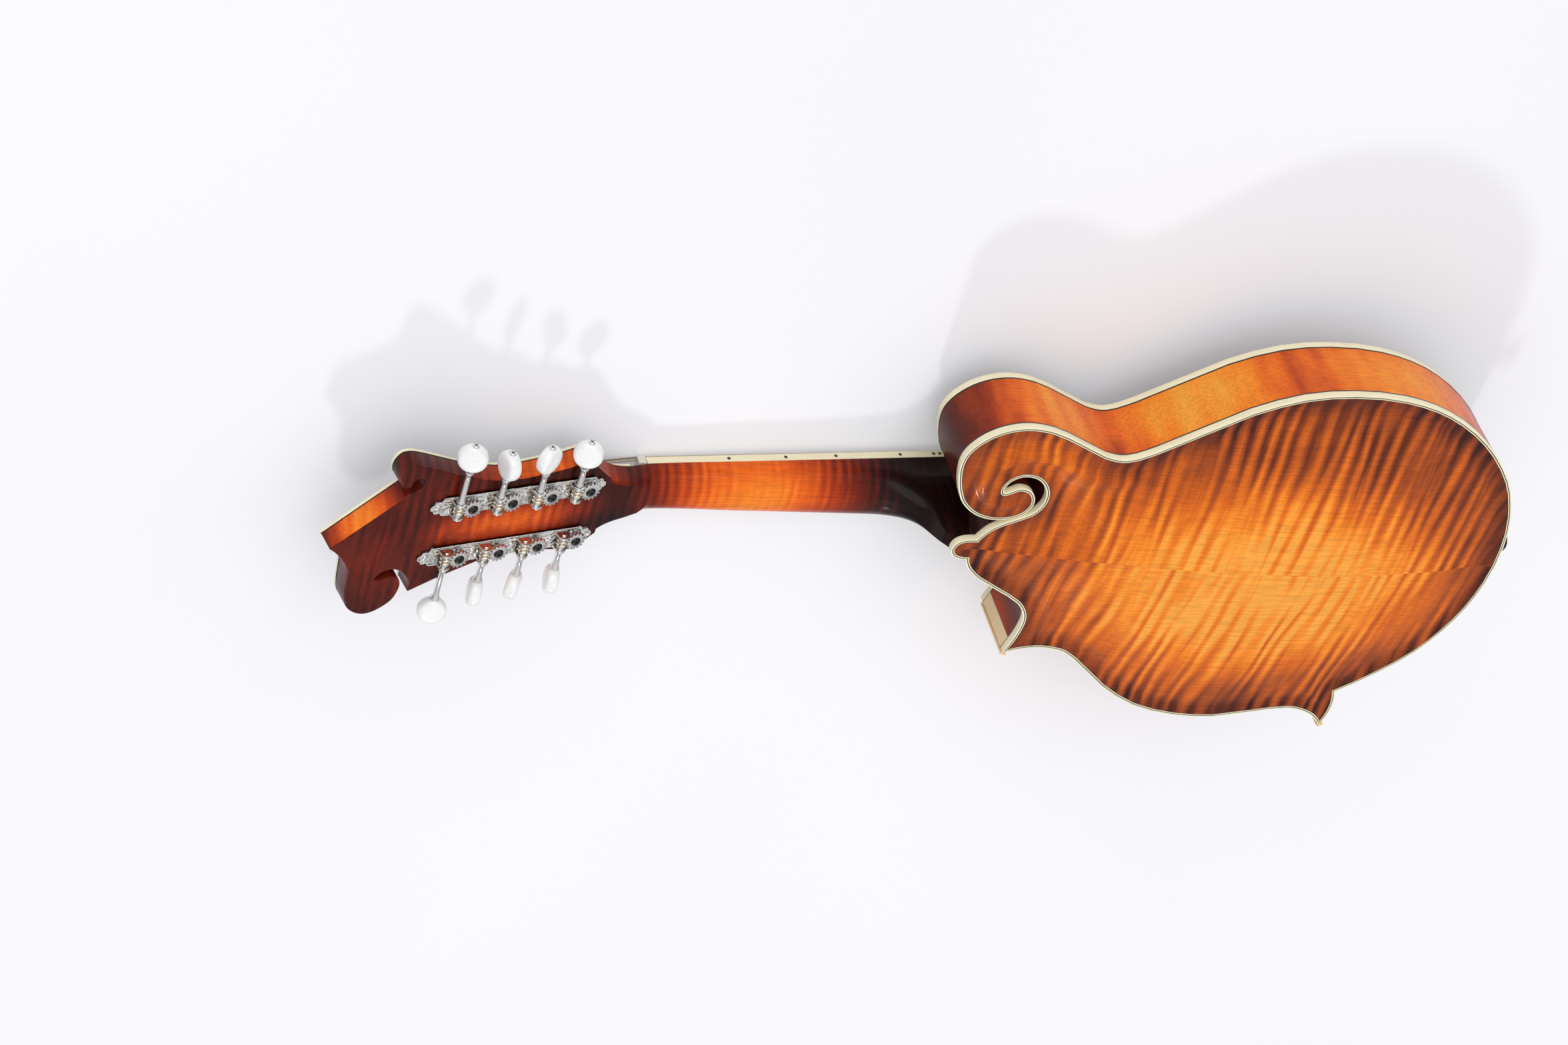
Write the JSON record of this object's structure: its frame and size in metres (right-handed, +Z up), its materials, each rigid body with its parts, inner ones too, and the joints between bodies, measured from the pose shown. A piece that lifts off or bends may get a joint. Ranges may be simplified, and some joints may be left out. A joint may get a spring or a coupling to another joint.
{
  "type": "mandolin",
  "caption": "F-style mandolin lying on its strings: carved body with scroll and points, bound edges, scrolled headstock, geared tuners.",
  "frame": {"origin": "on the ground under the middle of the bounding box, the mandolin lying face down on its strings", "axes": "+X from the headstock to the tail, +Y to the bass side, +Z up, out of the back"},
  "size_m": [0.713, 0.263, 0.0906],
  "materials": {
    "nickel": "polished nickel",
    "pearloid": "white pearl plastic",
    "bronze_string": "wound bronze",
    "steel_string": "plain steel",
    "cream_binding": "cream, gloss",
    "bare_wood": "unfinished",
    "ebony": "ebony, satin",
    "black_plastic": "black",
    "black_veneer": "black, gloss",
    "bone": "bone",
    "steel": "steel",
    "neck_maple": "flamed maple, dark red brown gloss",
    "back_maple": "flamed maple, sunburst gloss",
    "rib_maple": "flamed maple, amber gloss",
    "top_spruce": "spruce, sunburst gloss"
  },
  "bodies": {
    "mandolin": {"back_binding": "cream_binding", "back_plate": "back_maple", "bridge_base": "ebony", "end_pin": "ebony", "fingerboard": "ebony", "fingerboard_binding": "cream_binding", "head_block": "bare_wood", "headstock_binding": "cream_binding", "headstock_overlay": "black_veneer", "lining_back_body": "bare_wood", "lining_back_waist": "bare_wood", "lining_top_body": "bare_wood", "lining_top_waist": "bare_wood", "lower_point_block": "bare_wood", "neck": "neck_maple", "nut": "bone", "rim": "rib_maple", "strings_a": "steel_string", "strings_d": "bronze_string", "strings_e": "steel_string", "strings_g": "bronze_string", "tail_block": "bare_wood", "tailpiece_base": "nickel", "tone_bar_bass": "bare_wood", "tone_bar_treble": "bare_wood", "top_binding": "cream_binding", "top_plate": "top_spruce", "truss_rod": "steel", "truss_rod_cover": "black_plastic", "tuner_plate_bass": "nickel", "tuner_plate_treble": "nickel", "upper_point_block": "bare_wood"},
    "tuner_shaft_1": {"worm_shaft_1": "nickel", "button_1": "pearloid"},
    "tuner_shaft_2": {"worm_shaft_2": "nickel", "button_2": "pearloid"},
    "tuner_shaft_3": {"worm_shaft_3": "nickel", "button_3": "pearloid"},
    "tuner_shaft_4": {"worm_shaft_4": "nickel", "button_4": "pearloid"},
    "tuner_shaft_5": {"worm_shaft_5": "nickel", "button_5": "pearloid"},
    "tuner_shaft_6": {"worm_shaft_6": "nickel", "button_6": "pearloid"},
    "tuner_shaft_7": {"worm_shaft_7": "nickel", "button_7": "pearloid"},
    "tuner_shaft_8": {"worm_shaft_8": "nickel", "button_8": "pearloid"},
    "tuner_post_1": {"string_post_1": "nickel"},
    "tuner_post_2": {"string_post_2": "nickel"},
    "tuner_post_3": {"string_post_3": "nickel"},
    "tuner_post_4": {"string_post_4": "nickel"},
    "tuner_post_5": {"string_post_5": "nickel"},
    "tuner_post_6": {"string_post_6": "nickel"},
    "tuner_post_7": {"string_post_7": "nickel"},
    "tuner_post_8": {"string_post_8": "nickel"},
    "saddle": {"bridge_saddle": "ebony"},
    "wheel_bass": {"thumbwheel_bass": "nickel"},
    "wheel_treble": {"thumbwheel_treble": "nickel"},
    "tailpiece_lid": {"tailpiece_cover": "nickel"}
  },
  "joints": [
    {"name": "worm_turn_1", "type": "hinge", "parent": "mandolin", "child": "tuner_shaft_1", "pos_m": [-0.2197, 0.0246, 0.0341], "axis": [0, 1, 0], "continuous": true},
    {"name": "worm_turn_2", "type": "hinge", "parent": "mandolin", "child": "tuner_shaft_2", "pos_m": [-0.24233, 0.0246, 0.03825], "axis": [0, 1, 0], "continuous": true},
    {"name": "worm_turn_3", "type": "hinge", "parent": "mandolin", "child": "tuner_shaft_3", "pos_m": [-0.26495, 0.0246, 0.04239], "axis": [0, 1, 0], "continuous": true},
    {"name": "worm_turn_4", "type": "hinge", "parent": "mandolin", "child": "tuner_shaft_4", "pos_m": [-0.28758, 0.0246, 0.04653], "axis": [0, 1, 0], "continuous": true},
    {"name": "worm_turn_5", "type": "hinge", "parent": "mandolin", "child": "tuner_shaft_5", "pos_m": [-0.2197, -0.0114, 0.0341], "axis": [0, -1, 0], "continuous": true},
    {"name": "worm_turn_6", "type": "hinge", "parent": "mandolin", "child": "tuner_shaft_6", "pos_m": [-0.24233, -0.0114, 0.03825], "axis": [0, -1, 0], "continuous": true},
    {"name": "worm_turn_7", "type": "hinge", "parent": "mandolin", "child": "tuner_shaft_7", "pos_m": [-0.26495, -0.0114, 0.04239], "axis": [0, -1, 0], "continuous": true},
    {"name": "worm_turn_8", "type": "hinge", "parent": "mandolin", "child": "tuner_shaft_8", "pos_m": [-0.28758, -0.0114, 0.04653], "axis": [0, -1, 0], "continuous": true},
    {"name": "post_turn_1", "type": "hinge", "parent": "mandolin", "child": "tuner_post_1", "pos_m": [-0.21293, 0.0246, 0.02778], "axis": [0.1802, 0, 0.9836], "continuous": true},
    {"name": "post_turn_2", "type": "hinge", "parent": "mandolin", "child": "tuner_post_2", "pos_m": [-0.23556, 0.0246, 0.03193], "axis": [0.1802, 0, 0.9836], "continuous": true},
    {"name": "post_turn_3", "type": "hinge", "parent": "mandolin", "child": "tuner_post_3", "pos_m": [-0.25818, 0.0246, 0.03607], "axis": [0.1802, 0, 0.9836], "continuous": true},
    {"name": "post_turn_4", "type": "hinge", "parent": "mandolin", "child": "tuner_post_4", "pos_m": [-0.2808, 0.0246, 0.04021], "axis": [0.1802, 0, 0.9836], "continuous": true},
    {"name": "post_turn_5", "type": "hinge", "parent": "mandolin", "child": "tuner_post_5", "pos_m": [-0.21293, -0.0114, 0.02778], "axis": [0.1802, 0, 0.9836], "continuous": true},
    {"name": "post_turn_6", "type": "hinge", "parent": "mandolin", "child": "tuner_post_6", "pos_m": [-0.23556, -0.0114, 0.03193], "axis": [0.1802, 0, 0.9836], "continuous": true},
    {"name": "post_turn_7", "type": "hinge", "parent": "mandolin", "child": "tuner_post_7", "pos_m": [-0.25818, -0.0114, 0.03607], "axis": [0.1802, 0, 0.9836], "continuous": true},
    {"name": "post_turn_8", "type": "hinge", "parent": "mandolin", "child": "tuner_post_8", "pos_m": [-0.2808, -0.0114, 0.04021], "axis": [0.1802, 0, 0.9836], "continuous": true},
    {"name": "saddle_height", "type": "slide", "parent": "mandolin", "child": "saddle", "axis": [-0.0632, 0, 0.998], "range_m": [0, 0.0012]},
    {"name": "wheel_turn_bass", "type": "hinge", "parent": "saddle", "child": "wheel_bass", "pos_m": [0.18148, 0.0296, 0.00798], "axis": [-0.0632, 0, 0.998], "range_deg": [0, 620]},
    {"name": "wheel_turn_treble", "type": "hinge", "parent": "saddle", "child": "wheel_treble", "pos_m": [0.18148, -0.0164, 0.00798], "axis": [-0.0632, 0, 0.998], "range_deg": [0, 620]},
    {"name": "lid_slide", "type": "slide", "parent": "mandolin", "child": "tailpiece_lid", "axis": [0.998, 0, 0.0632], "range_m": [0, 0.03]}
  ],
  "couplings": [
    {"joint": "post_turn_1", "follows": "worm_turn_1", "ratio": 0.071429},
    {"joint": "post_turn_2", "follows": "worm_turn_2", "ratio": 0.071429},
    {"joint": "post_turn_3", "follows": "worm_turn_3", "ratio": 0.071429},
    {"joint": "post_turn_4", "follows": "worm_turn_4", "ratio": 0.071429},
    {"joint": "post_turn_5", "follows": "worm_turn_5", "ratio": -0.071429},
    {"joint": "post_turn_6", "follows": "worm_turn_6", "ratio": -0.071429},
    {"joint": "post_turn_7", "follows": "worm_turn_7", "ratio": -0.071429},
    {"joint": "post_turn_8", "follows": "worm_turn_8", "ratio": -0.071429},
    {"joint": "wheel_turn_bass", "follows": "saddle_height", "rad_per_m": 8976},
    {"joint": "wheel_turn_treble", "follows": "saddle_height", "rad_per_m": 8976}
  ]
}
